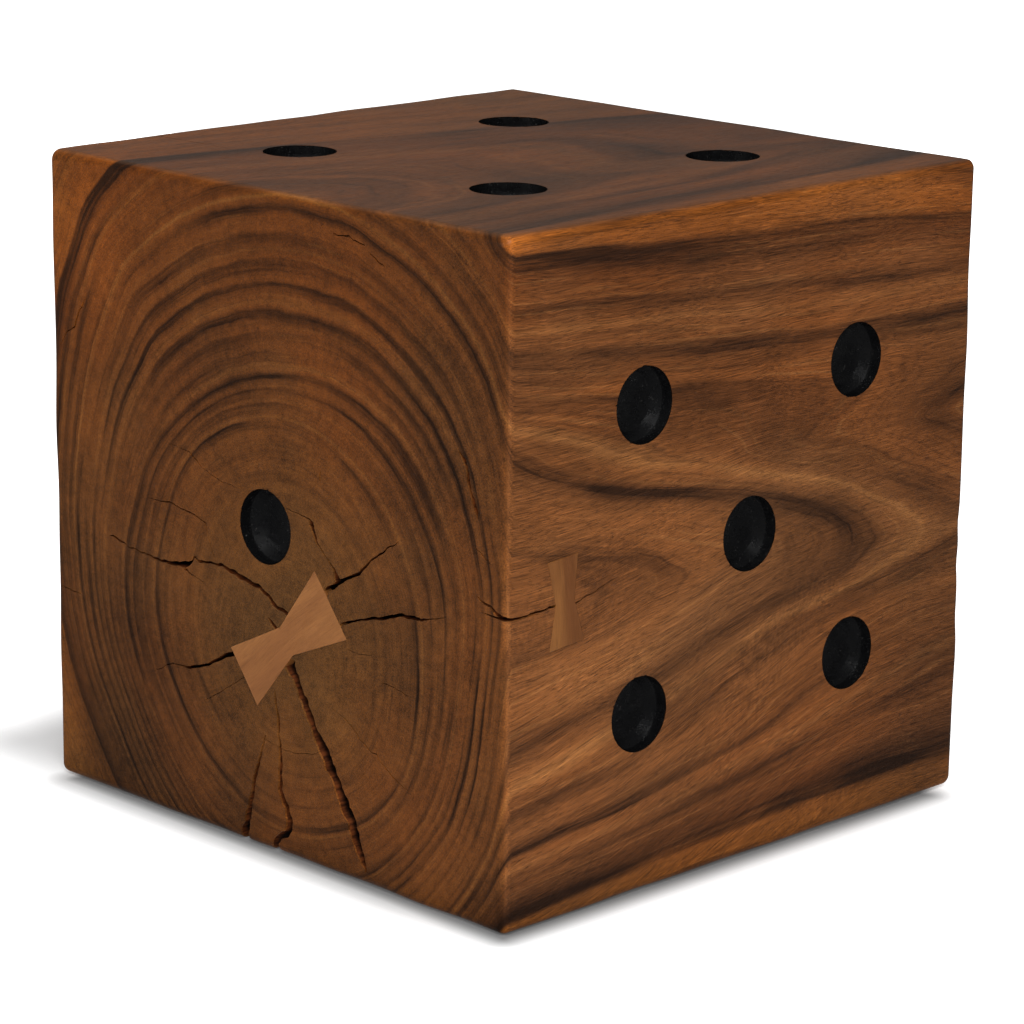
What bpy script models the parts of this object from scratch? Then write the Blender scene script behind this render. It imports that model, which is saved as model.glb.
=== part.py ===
# A six-sided die cut from one log, the size of a stool. Its numbers are round
# hollows with a black coat, and two bow-tie keys hold its drying cracks shut.
# Metres, +Z up. The origin is the centre of the underside, and the log runs
# along Y, so the faces "one" and "six" are its ends.

import math

import bpy
from mathutils import Matrix, Vector

# Block
WIDTH = 0.411  # along X
DEPTH = 0.404  # along Y, the log's axis
HEIGHT = 0.406  # along Z
EDGE_RADIUS = 0.008
EDGE_STEPS = 3

# Clearance between solids that touch
GAP = 0.0003

# Pips: the hollow in the block, and the coat that lines it
PIP_DIAMETER = 0.046
PIP_DEPTH = 0.014
PIP_FILLET = 0.008  # between the hollow's wall and its floor
PIP_SPREAD = 0.0925  # from a face's centre to a corner pip, each way
PIP_COAT = 0.0008
PIP_SIDES = 20
PIP_FILLET_STEPS = 2

# Key across the cracks of face "one", placed from the face's centre
END_KEY_LENGTH = 0.100
END_KEY_FOOT = 0.040  # width of its lower end
END_KEY_HEAD = 0.046  # width of its upper end
END_KEY_WAIST = 0.019
END_KEY_DEPTH = 0.014
END_KEY_TILT = math.radians(37.8)  # from level
END_KEY_RIGHT = 0.0185
END_KEY_DOWN = 0.067

# Key across the crack of face "five", placed from the edge that it shares with "one"
SIDE_KEY_LENGTH = 0.053
SIDE_KEY_FOOT = 0.028
SIDE_KEY_HEAD = 0.0245
SIDE_KEY_WAIST = 0.015
SIDE_KEY_DEPTH = 0.010
SIDE_KEY_TILT = math.radians(94.4)
SIDE_KEY_INSET = 0.047
SIDE_KEY_DOWN = 0.0125

# Drying cracks
CRACK_DEPTH = 0.026
CRACK_TIP = 0.0005  # width where a crack ends
OVERRUN = 0.004  # how far a cutter runs past the face it cuts

# Each face: its normal, and the direction that is to its right from outside
FACES = {
    "one": ((0, -1, 0), (1, 0, 0)),
    "two": ((-1, 0, 0), (0, -1, 0)),
    "three": ((0, 0, -1), (1, 0, 0)),
    "four": ((0, 0, 1), (1, 0, 0)),
    "five": ((1, 0, 0), (0, 1, 0)),
    "six": ((0, 1, 0), (-1, 0, 0)),
}

# Each face's pips, in steps of PIP_SPREAD right and up from its centre
DIAGONAL = [(-1, 1), (1, -1)]
CORNERS = DIAGONAL + [(1, 1), (-1, -1)]
PIPS = {
    "one": [(0, 0)],
    "two": DIAGONAL,
    "three": DIAGONAL + [(0, 0)],
    "four": CORNERS,
    "five": CORNERS + [(0, 0)],
    "six": CORNERS + [(-1, 0), (1, 0)],
}


def clear_scene():
    for found in list(bpy.data.objects):
        bpy.data.objects.remove(found, do_unlink=True)


def material(name, colour, roughness):
    made = bpy.data.materials.new(name)
    made.use_nodes = True
    shader = made.node_tree.nodes["Principled BSDF"]
    shader.inputs["Base Color"].default_value = (*colour, 1)
    shader.inputs["Roughness"].default_value = roughness
    shader.inputs["Metallic"].default_value = 0
    return made


def add_object(name, points, faces, place=None, look=None):
    mesh = bpy.data.meshes.new(name)
    mesh.from_pydata(points, [], faces)
    mesh.validate()
    made = bpy.data.objects.new(name, mesh)
    bpy.context.scene.collection.objects.link(made)
    if place:
        made.matrix_world = place
    if look:
        mesh.materials.append(look)
    return made


def add_cutter(name, points, faces, place):
    made = add_object(name, points, faces, place)
    made.hide_render = True
    made.display_type = "WIRE"
    return made


def cut(block, cutter):
    # A cutter is in world space and so is the block, whose object sits at the origin.
    boolean = block.modifiers.new("cut " + cutter.name, "BOOLEAN")
    boolean.operation = "DIFFERENCE"
    boolean.solver = "EXACT"
    boolean.object = cutter


def face_frame(face):
    # Local X is to the right, Y is up and Z is out; the origin is the face's centre.
    out, right = (Vector(axis) for axis in FACES[face])
    up = out.cross(right)
    half = Vector((WIDTH, DEPTH, HEIGHT)) / 2
    centre = Vector((0, 0, HEIGHT / 2)) + Vector(a * b for a, b in zip(out, half))
    frame = Matrix((right, up, out)).transposed().to_4x4()
    return Matrix.Translation(centre) @ frame


def rounded_block(look):
    x, y = WIDTH / 2, DEPTH / 2
    corners = [(-x, -y), (x, -y), (x, y), (-x, y)]
    points, faces = prism(corners, 0, HEIGHT)
    block = add_object("block", points, faces, look=look)
    bevel = block.modifiers.new("rounded edges", "BEVEL")
    bevel.limit_method = "NONE"
    bevel.width = EDGE_RADIUS
    bevel.segments = EDGE_STEPS
    return block


def prism(outline, low, high):
    # The outline runs counterclockwise as seen from +Z.
    count = len(outline)
    points = [(x, y, z) for z in (low, high) for x, y in outline]
    faces = [list(range(count))[::-1], list(range(count, 2 * count))]
    for i in range(count):
        after = (i + 1) % count
        faces.append([i, after, after + count, i + count])
    return points, faces


def turned(profile):
    # Each (radius, height) of the profile is a ring. Flat caps close the first and the last.
    turns = [2 * math.pi * i / PIP_SIDES for i in range(PIP_SIDES)]
    points = [
        (radius * math.cos(turn), radius * math.sin(turn), height)
        for radius, height in profile
        for turn in turns
    ]
    last = len(points) - PIP_SIDES
    faces = [list(range(PIP_SIDES))[::-1], list(range(last, len(points)))]
    for near in range(0, last, PIP_SIDES):
        for i in range(PIP_SIDES):
            after = (i + 1) % PIP_SIDES
            far = near + PIP_SIDES
            faces.append([near + i, near + after, far + after, far + i])
    return points, faces


def dish_profile(radius, depth, fillet):
    # Down the wall from the face, round the fillet and in to the floor's edge.
    profile = [(radius, 0)]
    for step in range(PIP_FILLET_STEPS + 1):
        turn = math.pi / 2 * step / PIP_FILLET_STEPS
        inward, down = fillet * (1 - math.cos(turn)), fillet * (1 - math.sin(turn))
        profile.append((radius - inward, down - depth))
    return profile


def pip_places(face):
    frame = face_frame(face)
    for right, up in PIPS[face]:
        yield frame @ Matrix.Translation((right * PIP_SPREAD, up * PIP_SPREAD, 0))


def pip_cutter(name, place):
    profile = dish_profile(PIP_DIAMETER / 2, PIP_DEPTH, PIP_FILLET)
    profile[0] = (PIP_DIAMETER / 2, OVERRUN)
    points, faces = turned(profile[::-1])
    return add_cutter(name, points, faces, place)


def pip_coat(name, place, look):
    # A dish of even thickness, one gap inside the hollow.
    outer = dish_profile(PIP_DIAMETER / 2 - GAP, PIP_DEPTH - GAP, PIP_FILLET - GAP)
    inset = GAP + PIP_COAT
    inner = dish_profile(PIP_DIAMETER / 2 - inset, PIP_DEPTH - inset, PIP_FILLET - inset)
    points, faces = turned(outer[::-1] + inner)
    coat = add_object(name, points, faces, place, look)
    coat.data.shade_smooth()
    coat.data.set_sharp_from_angle(angle=math.radians(50))
    return coat


def bow_tie(length, foot, head, waist):
    # Its foot is at -X and its head at +X, counterclockwise.
    far = length / 2
    return [
        (-far, -foot / 2),
        (0, -waist / 2),
        (far, -head / 2),
        (far, head / 2),
        (0, waist / 2),
        (-far, foot / 2),
    ]


def grown(outline, distance):
    # Moves each side of a counterclockwise outline out and meets them again at mitres.
    made = []
    for i, point in enumerate(outline):
        before = (Vector(point) - Vector(outline[i - 1])).normalized()
        after = (Vector(outline[(i + 1) % len(outline)]) - Vector(point)).normalized()
        outward = Vector((before.y + after.y, -before.x - after.x)).normalized()
        reach = distance / outward.dot(Vector((before.y, -before.x)))
        made.append(tuple(Vector(point) + outward * reach))
    return made


def key_and_pocket(block, name, face, centre, tilt, outline, depth, look):
    turn = Matrix.Rotation(tilt, 4, "Z")
    place = face_frame(face) @ Matrix.Translation((*centre, 0)) @ turn
    points, faces = prism(outline, -depth, 0)
    add_object(name, points, faces, place, look)
    points, faces = prism(grown(outline, GAP), -depth - GAP, OVERRUN)
    cut(block, add_cutter(name + " pocket", points, faces, place))


def crack(block, name, face, start, end, bends, depth=CRACK_DEPTH):
    # A wedge along a bent line, widest at the face. Each bend is its share of the
    # way from start to end, its distance to the left, and the width there. The
    # first and last widths stand alone, because the line starts and ends there.
    first, *middle, last = bends
    start, end = Vector(start), Vector(end)
    along = end - start
    left = Vector((-along.y, along.x)).normalized()
    route = [(start, first)]
    route += [(start + share * along + away * left, width) for share, away, width in middle]
    route += [(end, last)]
    spread = (depth + OVERRUN) / depth / 2
    points = []
    for i, (point, width) in enumerate(route):
        before, after = route[max(i - 1, 0)][0], route[min(i + 1, len(route) - 1)][0]
        heading = (after - before).normalized()
        side = Vector((-heading.y, heading.x)) * width * spread
        points += [(*(point + side), OVERRUN), (*(point - side), OVERRUN), (*point, -depth)]
    faces = [[2, 1, 0], [len(points) - 3, len(points) - 2, len(points) - 1]]
    for i in range(0, len(points) - 3, 3):
        for a, b in ((0, 1), (1, 2), (2, 0)):
            faces.append([i + a, i + b, i + b + 3, i + a + 3])
    cut(block, add_cutter(name, points, faces, face_frame(face)))


def cracks_of_face_one(block):
    # They meet at the log's pith, under the key, so each starts inside its pocket.
    right, down = END_KEY_RIGHT, -END_KEY_DOWN
    ground = -HEIGHT / 2
    crack(block, "crack to the lower right", "one",
          (right, down - 0.004), (0.0895, ground + 0.012),
          [0.0065, (0.30, -0.001, 0.0070), (0.55, -0.001, 0.0060), (0.80, -0.002, 0.0070), 0.0020])
    crack(block, "crack to the foot", "one",
          (0.0065, down - 0.030), (0.0055, ground - OVERRUN),
          [CRACK_TIP, (0.35, 0.004, 0.0025), (0.62, 0.006, 0.0045), (0.80, 0.014, 0.0055), 0.0060])
    crack(block, "crack to the left foot", "one",
          (-0.0015, down - 0.064), (-0.0215, ground - OVERRUN),
          [CRACK_TIP, (0.50, -0.001, 0.0030), 0.0062])
    crack(block, "crack to the left", "one",
          (right + 0.005, down + 0.015), (-0.1475, down + 0.033),
          [0.0025, (0.13, 0.006, 0.0030), (0.36, -0.006, 0.0025), (0.60, 0.006, 0.0025), CRACK_TIP])
    crack(block, "crack to the upper right", "one",
          (right + 0.033, down + 0.035), (0.1175, down + 0.081),
          [0.0025, (0.45, 0.001, 0.0025), CRACK_TIP])
    crack(block, "crack to the right", "one",
          (right + 0.046, down + 0.017), (0.1425, down + 0.039),
          [0.0015, (0.50, 0.002, 0.0020), CRACK_TIP])
    crack(block, "crack to the lower left", "one",
          (right - 0.043, down - 0.016), (-0.0975, down - 0.041),
          [0.0022, (0.45, 0.001, 0.0018), CRACK_TIP])


def crack_of_face_five(block, key_centre):
    # It runs in from the vertical edge and under the key, and ends beyond it.
    right, up = key_centre
    crack(block, "crack over the edge", "five",
          (-DEPTH / 2 - OVERRUN, up - 0.0025), (right + 0.035, up + 0.006),
          [0.0022, (0.55, 0.001, 0.0015), CRACK_TIP], depth=0.020)


def build():
    clear_scene()
    wood = material("hardwood, oiled", (0.16, 0.062, 0.028), 0.45)
    pale_wood = material("key wood", (0.33, 0.15, 0.065), 0.45)
    amber_wood = material("side key wood", (0.24, 0.10, 0.040), 0.45)
    black = material("black coat", (0.006, 0.006, 0.006), 0.35)

    block = rounded_block(wood)
    for face in PIPS:
        for number, place in enumerate(pip_places(face), start=1):
            name = f"pip_{face}_{number}"
            pip_coat(name, place, black)
            cut(block, pip_cutter(name + " hollow", place))

    end_outline = bow_tie(END_KEY_LENGTH, END_KEY_FOOT, END_KEY_HEAD, END_KEY_WAIST)
    key_and_pocket(block, "end_key", "one", (END_KEY_RIGHT, -END_KEY_DOWN), END_KEY_TILT,
                   end_outline, END_KEY_DEPTH, pale_wood)
    side_outline = bow_tie(SIDE_KEY_LENGTH, SIDE_KEY_FOOT, SIDE_KEY_HEAD, SIDE_KEY_WAIST)
    side_centre = (SIDE_KEY_INSET - DEPTH / 2, -SIDE_KEY_DOWN)
    key_and_pocket(block, "side_key", "five", side_centre, SIDE_KEY_TILT,
                   side_outline, SIDE_KEY_DEPTH, amber_wood)
    cracks_of_face_one(block)
    crack_of_face_five(block, side_centre)


build()
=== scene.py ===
import math
import bmesh
import bpy
import numpy as np
from mathutils import Matrix, Vector


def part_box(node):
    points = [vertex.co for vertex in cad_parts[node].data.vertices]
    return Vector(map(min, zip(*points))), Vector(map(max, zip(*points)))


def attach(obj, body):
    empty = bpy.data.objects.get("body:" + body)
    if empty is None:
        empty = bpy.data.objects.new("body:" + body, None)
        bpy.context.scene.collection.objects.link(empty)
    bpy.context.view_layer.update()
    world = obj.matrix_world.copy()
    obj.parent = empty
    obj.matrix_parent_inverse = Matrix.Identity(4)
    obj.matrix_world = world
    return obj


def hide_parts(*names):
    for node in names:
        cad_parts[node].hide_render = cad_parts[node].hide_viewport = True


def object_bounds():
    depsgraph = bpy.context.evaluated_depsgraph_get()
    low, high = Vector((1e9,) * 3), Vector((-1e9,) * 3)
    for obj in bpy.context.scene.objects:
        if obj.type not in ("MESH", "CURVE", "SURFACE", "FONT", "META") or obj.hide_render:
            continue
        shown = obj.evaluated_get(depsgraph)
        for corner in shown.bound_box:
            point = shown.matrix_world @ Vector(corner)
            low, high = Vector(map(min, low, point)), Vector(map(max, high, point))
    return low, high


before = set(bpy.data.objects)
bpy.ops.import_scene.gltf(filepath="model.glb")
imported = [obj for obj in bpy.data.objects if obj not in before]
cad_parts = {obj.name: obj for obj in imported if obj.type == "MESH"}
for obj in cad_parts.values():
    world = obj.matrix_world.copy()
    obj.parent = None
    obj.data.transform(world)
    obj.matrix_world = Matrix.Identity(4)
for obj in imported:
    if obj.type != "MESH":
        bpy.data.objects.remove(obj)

cadBox = [list(corner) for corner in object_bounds()]
boxLow, boxHigh = (np.array(corner) for corner in cadBox)
boxSize = boxHigh - boxLow
boxMiddle = (boxLow + boxHigh) / 2
mm = 0.001
print("frame loaded, the block measures", np.round(boxSize, 4))

# each face: its outward direction, and what is to its right from outside
faces = {
    "one": ((0, -1, 0), (1, 0, 0)),
    "two": ((-1, 0, 0), (0, -1, 0)),
    "three": ((0, 0, -1), (1, 0, 0)),
    "four": ((0, 0, 1), (1, 0, 0)),
    "five": ((1, 0, 0), (0, 1, 0)),
    "six": ((0, 1, 0), (-1, 0, 0)),
}


def faceAxes(face):
    out, right = (np.array(axis, float) for axis in faces[face])
    return right, np.cross(out, right), out


def onFace(face, across, upward, outward, middle=None):
    # middle + across * right + upward * up + outward * out, for whole arrays
    right, up, out = faceAxes(face)
    middle = boxMiddle + out * boxSize / 2 if middle is None else middle
    amounts = np.broadcast_arrays(across, upward, outward)
    return middle + sum(amount[..., None] * axis for amount, axis in zip(amounts, (right, up, out)))


def wobble(points, wavelength, seed, waves=14):
    # sum of sines in random directions, each about one wavelength long, kept near -1..1
    draw = np.random.default_rng(seed)
    heading = draw.normal(size=(waves, 3))
    heading /= np.linalg.norm(heading, axis=1)[:, None]
    turns = 2 * np.pi / wavelength * draw.uniform(0.6, 1.5, waves)
    phase = draw.uniform(0, 2 * np.pi, waves)
    angle = np.asarray(points) @ (heading * turns[:, None]).T + phase
    return np.sin(angle).sum(axis=-1) / math.sqrt(waves)


def ripple(places, wavelength, seed):
    # the same along one line of places
    return wobble(np.stack([places, 0 * places, 0 * places], axis=-1), wavelength, seed)


def smoothStep(value, low, high):
    share = np.clip((value - low) / (high - low), 0, 1)
    return share * share * (3 - 2 * share)


def gridQuads(rows, columns, wrap):
    # quads of a grid stored row by row; a wrapped grid closes each row into a ring
    wide = columns if wrap else columns - 1
    row, column = np.meshgrid(np.arange(rows - 1), np.arange(wide), indexing="ij")
    after = (column + 1) % columns
    near, far = row * columns, (row + 1) * columns
    return np.stack([near + column, near + after, far + after, far + column], axis=-1).reshape(-1, 4)


def addPiece(name, points, allFaces, weld=None):
    mesh = bpy.data.meshes.new(name)
    mesh.from_pydata(np.asarray(points).tolist(), [], allFaces)
    work = bmesh.new()
    work.from_mesh(mesh)
    if weld:
        bmesh.ops.remove_doubles(work, verts=work.verts, dist=weld)
    bmesh.ops.recalc_face_normals(work, faces=work.faces)
    work.to_mesh(mesh)
    work.free()
    piece = bpy.data.objects.new(name, mesh)
    bpy.context.scene.collection.objects.link(piece)
    return piece


def closedRings(rings):
    # rings[i, j] is point j of ring i; each end closes in one flat cap
    rows, columns = rings.shape[:2]
    last = (rows - 1) * columns
    caps = [list(range(columns)), list(range(last, last + columns))]
    return rings.reshape(-1, 3), gridQuads(rows, columns, wrap=True).tolist() + caps


def shadeByAngle(piece, degrees=40):
    # smooth, but sharp where two faces meet at more than this angle
    piece.data.shade_smooth()
    piece.data.set_sharp_from_angle(angle=math.radians(degrees))


# the block's own shape
blockShape = {
    "edgeRadius": 6.5 * mm,
    "edgeRadiusVaries": 0.9 * mm,  # hand-sanded edges are never even
    "edgeWavelength": 70 * mm,
    "faceWave": 0.16 * mm,
    "faceWavelength": 95 * mm,
    "spacing": 6 * mm,
    "edgeSteps": 6,
    "weld": 0.01 * mm,
    "sharpAngle": 32,
    # hollows worn in the upright edge between faces five and six, in millimetres:
    # height, depth, half length
    "edgeDents": [(174, 0.75, 9), (148, 0.6, 8), (112, 0.7, 11)],
    "dentReach": (8 * mm, 24 * mm),  # from the corner, where they begin and end to fade
}


def faceWaveAt(points):
    return blockShape["faceWave"] * wobble(points, blockShape["faceWavelength"], seed=11)


def edgeDent(points):
    # depth * exp(-(height away / half length)^2), faded out away from the corner
    corner = np.array([boxHigh[0], boxHigh[1]])
    away = np.linalg.norm(points[:, :2] - corner, axis=1)
    near = 1 - smoothStep(away, *blockShape["dentReach"])
    dents = 0
    for height, deep, long in blockShape["edgeDents"]:
        dents = dents + deep * mm * np.exp(-(((points[:, 2] - height * mm) / (long * mm)) ** 2))
    return near * dents


def stepsAcross(size):
    # evenly over the flat part, then by even angles round each edge: radius * tan(angle)
    radius = blockShape["edgeRadius"]
    flat = size / 2 - radius
    turn = np.radians(np.linspace(0, 45, blockShape["edgeSteps"] + 1))[1:]
    rounded = flat + radius * np.tan(turn)
    middle = np.linspace(-flat, flat, int(round(2 * flat / blockShape["spacing"])) + 1)
    return np.concatenate([-rounded[::-1], middle, rounded])


def blockBody():
    # a box whose every point is pulled to inner + radius * unit(point - inner), where
    # inner is the point clipped to the box shrunk by the radius; then waved along that unit
    allPoints, allQuads, count = [], [], 0
    for face in faces:
        right, up = (np.abs(axis) for axis in faceAxes(face)[:2])
        across, upward = np.meshgrid(stepsAcross(boxSize @ right), stepsAcross(boxSize @ up), indexing="ij")
        allPoints.append(onFace(face, across, upward, 0.0).reshape(-1, 3))
        allQuads.append(gridQuads(*across.shape, wrap=False) + count)
        count += across.size
    points = np.concatenate(allPoints)
    radius = blockShape["edgeRadius"]
    radius = radius + blockShape["edgeRadiusVaries"] * wobble(points, blockShape["edgeWavelength"], seed=5)
    radius = radius[:, None]
    inner = np.clip(points, boxLow + radius, boxHigh - radius)
    unit = (points - inner) / np.linalg.norm(points - inner, axis=1)[:, None]
    points = inner + unit * radius
    points = points + unit * (faceWaveAt(points) - edgeDent(points))[:, None]
    return addPiece("block_wood", points, np.concatenate(allQuads).tolist(), weld=blockShape["weld"])


# drying cracks: routes are (right, up from the bottom of the face, width), in millimetres
crackShape = {
    "step": 1.0 * mm,  # between sections along the crack
    "jitter": 0.34 * mm,  # how ragged the route is
    "grit": 0.09 * mm,  # how ragged each wall is
    "widthJitter": 0.10,  # as a share of the width
    "overrun": 3 * mm,  # how far the cutter stands out of the face
    "levels": [0, 0.10, 0.25, 0.45, 0.70, 1],  # depths of its wall points, as shares
    "narrows": 0.7,  # how its width goes down with depth: 1 is a straight wedge
    "leastShare": 0.12,  # of the width, above its floor
    "floorShare": 0.02,
    "leastHalf": 0.08 * mm,
    "deepest": 30 * mm,
    "shallowest": 1.5 * mm,
    "depthPerWidth": 9,
    "lean": 0.10,  # how far it wanders aside on its way down, as a share of the depth
}
crackRoutes = {
    "one": [
        [(22.5, 126, 6), (22, 121, 9), (26.5, 115, 7), (30.5, 108, 6.2), (34.5, 101, 6.6),
         (38.5, 94, 7.4), (41.5, 89, 5.8), (44.5, 84, 6.6), (49.5, 79, 8.6), (53.5, 72, 9),
         (58.5, 65, 8.4), (62.5, 58, 7), (67.5, 50, 8.6), (72.5, 42, 9.4), (76.5, 36, 9), (79.5, 28, 7.6),
         (83.5, 20, 6.4), (86.5, 14, 5), (89.5, 9, 1.2)],
        [(8, 103, 0.75), (8, 97, 2.5), (10, 90, 1.8), (11, 83, 2.8), (11, 76, 2), (12, 68, 2.5),
         (13, 60, 3.8), (12.5, 52, 3.8), (12.5, 42, 4.2), (14, 36, 4.5), (17.5, 31, 5), (20, 25, 5.8),
         (20, 19, 5.8), (17.5, 14, 5), (11.5, 11.5, 4.2), (7.5, 7, 5.6), (5.5, 1, 8.1), (4.5, -6, 8.8)],
        [(-1, 73, 0.62), (-3.5, 66, 1.5), (-6.5, 57, 2.2), (-10.5, 45, 3), (-13.5, 34, 3.2), (-16, 24, 4),
         (-18, 16, 5.5), (-20.5, 8, 6.9), (-22.5, 0, 8.1), (-23.5, -6, 8.8)],
        [(24.5, 150, 3.4), (19.5, 153, 3.4), (11.5, 155, 2.9), (7.5, 156.5, 3.6), (1.5, 161, 3.1),
         (-7.5, 164.5, 3.4), (-28.5, 168, 3.9), (-42.5, 171, 2.3), (-49.5, 170.5, 1.6), (-57.5, 170, 1.6),
         (-61.5, 169, 2.1), (-66.5, 171, 1.6), (-70.5, 167, 1.8), (-76.5, 164, 4.7), (-81.5, 163.5, 3.4),
         (-88.5, 162.5, 2.6), (-98.5, 162.5, 1.8), (-111.5, 163.5, 1.3), (-130.5, 165, 0.91),
         (-143.5, 168, 2.1), (-149.5, 168.5, 0.39)],
        [(-76.5, 161.5, 2.1), (-67.5, 159, 0.65), (-57.5, 157, 0.33)],
        [(52.5, 171, 3.9), (55.5, 175, 3.9), (59.5, 178, 3.4), (64.5, 182, 3.4), (72.5, 185.5, 2.1),
         (78.5, 189, 2.1), (83.5, 191.5, 2.1), (88.5, 197, 2.1), (92.5, 200, 1.6), (100.5, 206, 1.2),
         (109.5, 212, 0.91), (117.5, 217, 0.39)],
        [(17.5, 218.5, 0.52), (28.5, 217, 0.52), (39.5, 215.5, 1), (41.5, 213, 4.2), (43.5, 209, 3.4),
         (46, 203, 2.3), (49.5, 199, 1), (56.5, 193.5, 1), (60.5, 191, 1.2), (62.5, 187, 3.1),
         (64, 184, 6), (65.5, 181, 3.9)],
        [(65.5, 155, 1.8), (68.5, 157.5, 1.8), (74.5, 159.5, 1.6), (80.5, 162, 1.3), (93.5, 166, 1.8),
         (106.5, 169, 2.3), (116.5, 173, 2.3), (126.5, 174, 2.9), (135.5, 174, 2.3), (142.5, 176, 0.65),
         (156.5, 180, 0.33)],
        [(-25.5, 119, 3.6), (-29.5, 118, 3.6), (-37.5, 115, 2.9), (-44.5, 111, 2.5), (-53.5, 106.5, 2),
         (-59.5, 103.5, 1.8), (-72.5, 99.5, 2.2), (-77.5, 99, 1.3), (-88.5, 98.5, 0.65),
         (-94.5, 96, 0.52), (-105.5, 90, 0.26)],
        [(-110.5, 200.5, 0.33), (-97.5, 200.5, 0.65), (-89.5, 201.5, 1.2), (-84.5, 200.5, 0.91),
         (-72.5, 198.5, 0.91), (-63.5, 197.5, 1), (-55.5, 194.5, 1.2), (-53.5, 187, 0.33),
         (-47.5, 175, 0.33)],
        [(-91.5, 239, 0.26), (-76.5, 237, 0.39), (-69.5, 236, 0.91), (-66.5, 234, 1.3),
         (-62.5, 231.5, 1.2), (-57.5, 228, 0.39), (-41.5, 224, 0.39), (-27.5, 222, 0.26)],
        [(57.5, 104, 0.26), (68.5, 100, 0.52), (75.5, 96.5, 0.78), (82.5, 91, 0.65), (90.5, 86, 0.78),
         (95.5, 84, 1), (98.5, 84, 0.65), (102.5, 80, 0.65), (110.5, 75, 1), (116.5, 72, 0.78),
         (126.5, 68, 0.39)],
        [(102.5, 129.5, 0.39), (106.5, 129, 0.78), (112.5, 128.5, 0.52), (120.5, 127.5, 0.78),
         (124.5, 126, 1)],
        [(166.5, 279, 1.2), (171.5, 275, 3.1), (173.5, 270, 1.8), (174.5, 264, 2.6), (176.5, 258, 1.8),
         (178.5, 252, 3.1), (181, 247, 2.9), (182.5, 243, 0.65)],
        [(49.5, 246, 0.65), (49.1, 243, 1.2), (49.5, 240, 0.52)],
        [(61.5, 388, 0.52), (74.5, 388.5, 1), (88.5, 385, 0.65)],
        [(92.5, 381, 0.65), (99.5, 378, 1.3), (105.5, 375, 0.52)],
        [(-169.5, 317, 0.39), (-173.5, 310, 1), (-177.5, 304, 1.2), (-180.5, 297, 1.2),
         (-187.5, 293, 0.65), (-195.5, 283, 0.39)],
        [(180.5, 227, 0.52), (187.5, 222, 1), (192.5, 219, 0.52)],
        [(182.5, 198, 0.65), (187.5, 195, 1.8), (192.5, 194.5, 1.6), (197.5, 191, 2.6), (205.5, 188, 2.9),
         (210.5, 187.5, 2.9)],
        [(1.5, 147, 0.78), (4.5, 144.5, 3.1), (7.5, 143, 3.6), (11.5, 141, 2.6)],
        [(72.5, 143, 0.33), (82.5, 142, 0.39), (94.5, 144, 0.33)],
        [(-201.5, 126, 0.78), (-190.5, 124.5, 0.78), (-179.5, 124.5, 0.39)],
        [(-19.5, 106, 0.39), (-37.5, 94, 0.45), (-57.5, 82, 0.33)],
        [(-5.5, 71, 0.33), (7.5, 68, 0.45), (22.5, 67.5, 0.45), (38.5, 70, 0.39), (52.5, 75, 0.26)],
    ],
    "five": [
        [(-208, 188, 2.2), (-202, 188, 2), (-192, 188, 1.7), (-177, 189, 1.4), (-165, 189.3, 1.6),
         (-158, 189.3, 1.5)],
        [(-152, 187.5, 1.2), (-147, 188, 1.2), (-140, 190, 0.9), (-132, 192, 0.8), (-122, 195, 0.5),
         (-115, 197, 0.25)],
    ],
    "six": [
        [(-14, 104, 5), (-28, 88, 5.5), (-41, 66, 4.4), (-52, 50, 5), (-66, 33, 3.2), (-80, 14, 0.5)],
        [(-12, 112, 2.4), (8, 132, 2.6), (26, 141, 1.8), (47, 160, 2.2), (70, 171, 1.2), (96, 186, 0.3)],
        [(-8, 108, 2), (22, 104, 2.4), (50, 95, 1.6), (77, 92, 1.8), (104, 82, 0.3)],
        [(-12, 114, 1.8), (-20, 146, 2), (-17, 168, 1.2), (-22, 190, 0.4)],
        [(-4, 98, 1.5), (2, 68, 2.4), (0, 40, 3), (6, 16, 4), (8, -6, 5)],
        [(-22, 112, 1.2), (-48, 122, 1.6), (-80, 127, 0.9), (-112, 140, 0.25)],
        [(-128, 236, 0.3), (-142, 247, 1), (-158, 254, 0.3)],
    ],
    "two": [
        [(66, 120, 0.3), (110, 123, 0.7), (150, 121, 0.6), (203, 124, 0.9)],
    ],
    "four": [
        [(-204, -120, 0.5), (-160, -118, 0.5), (-128, -119, 0.2)],
    ],
}


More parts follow.
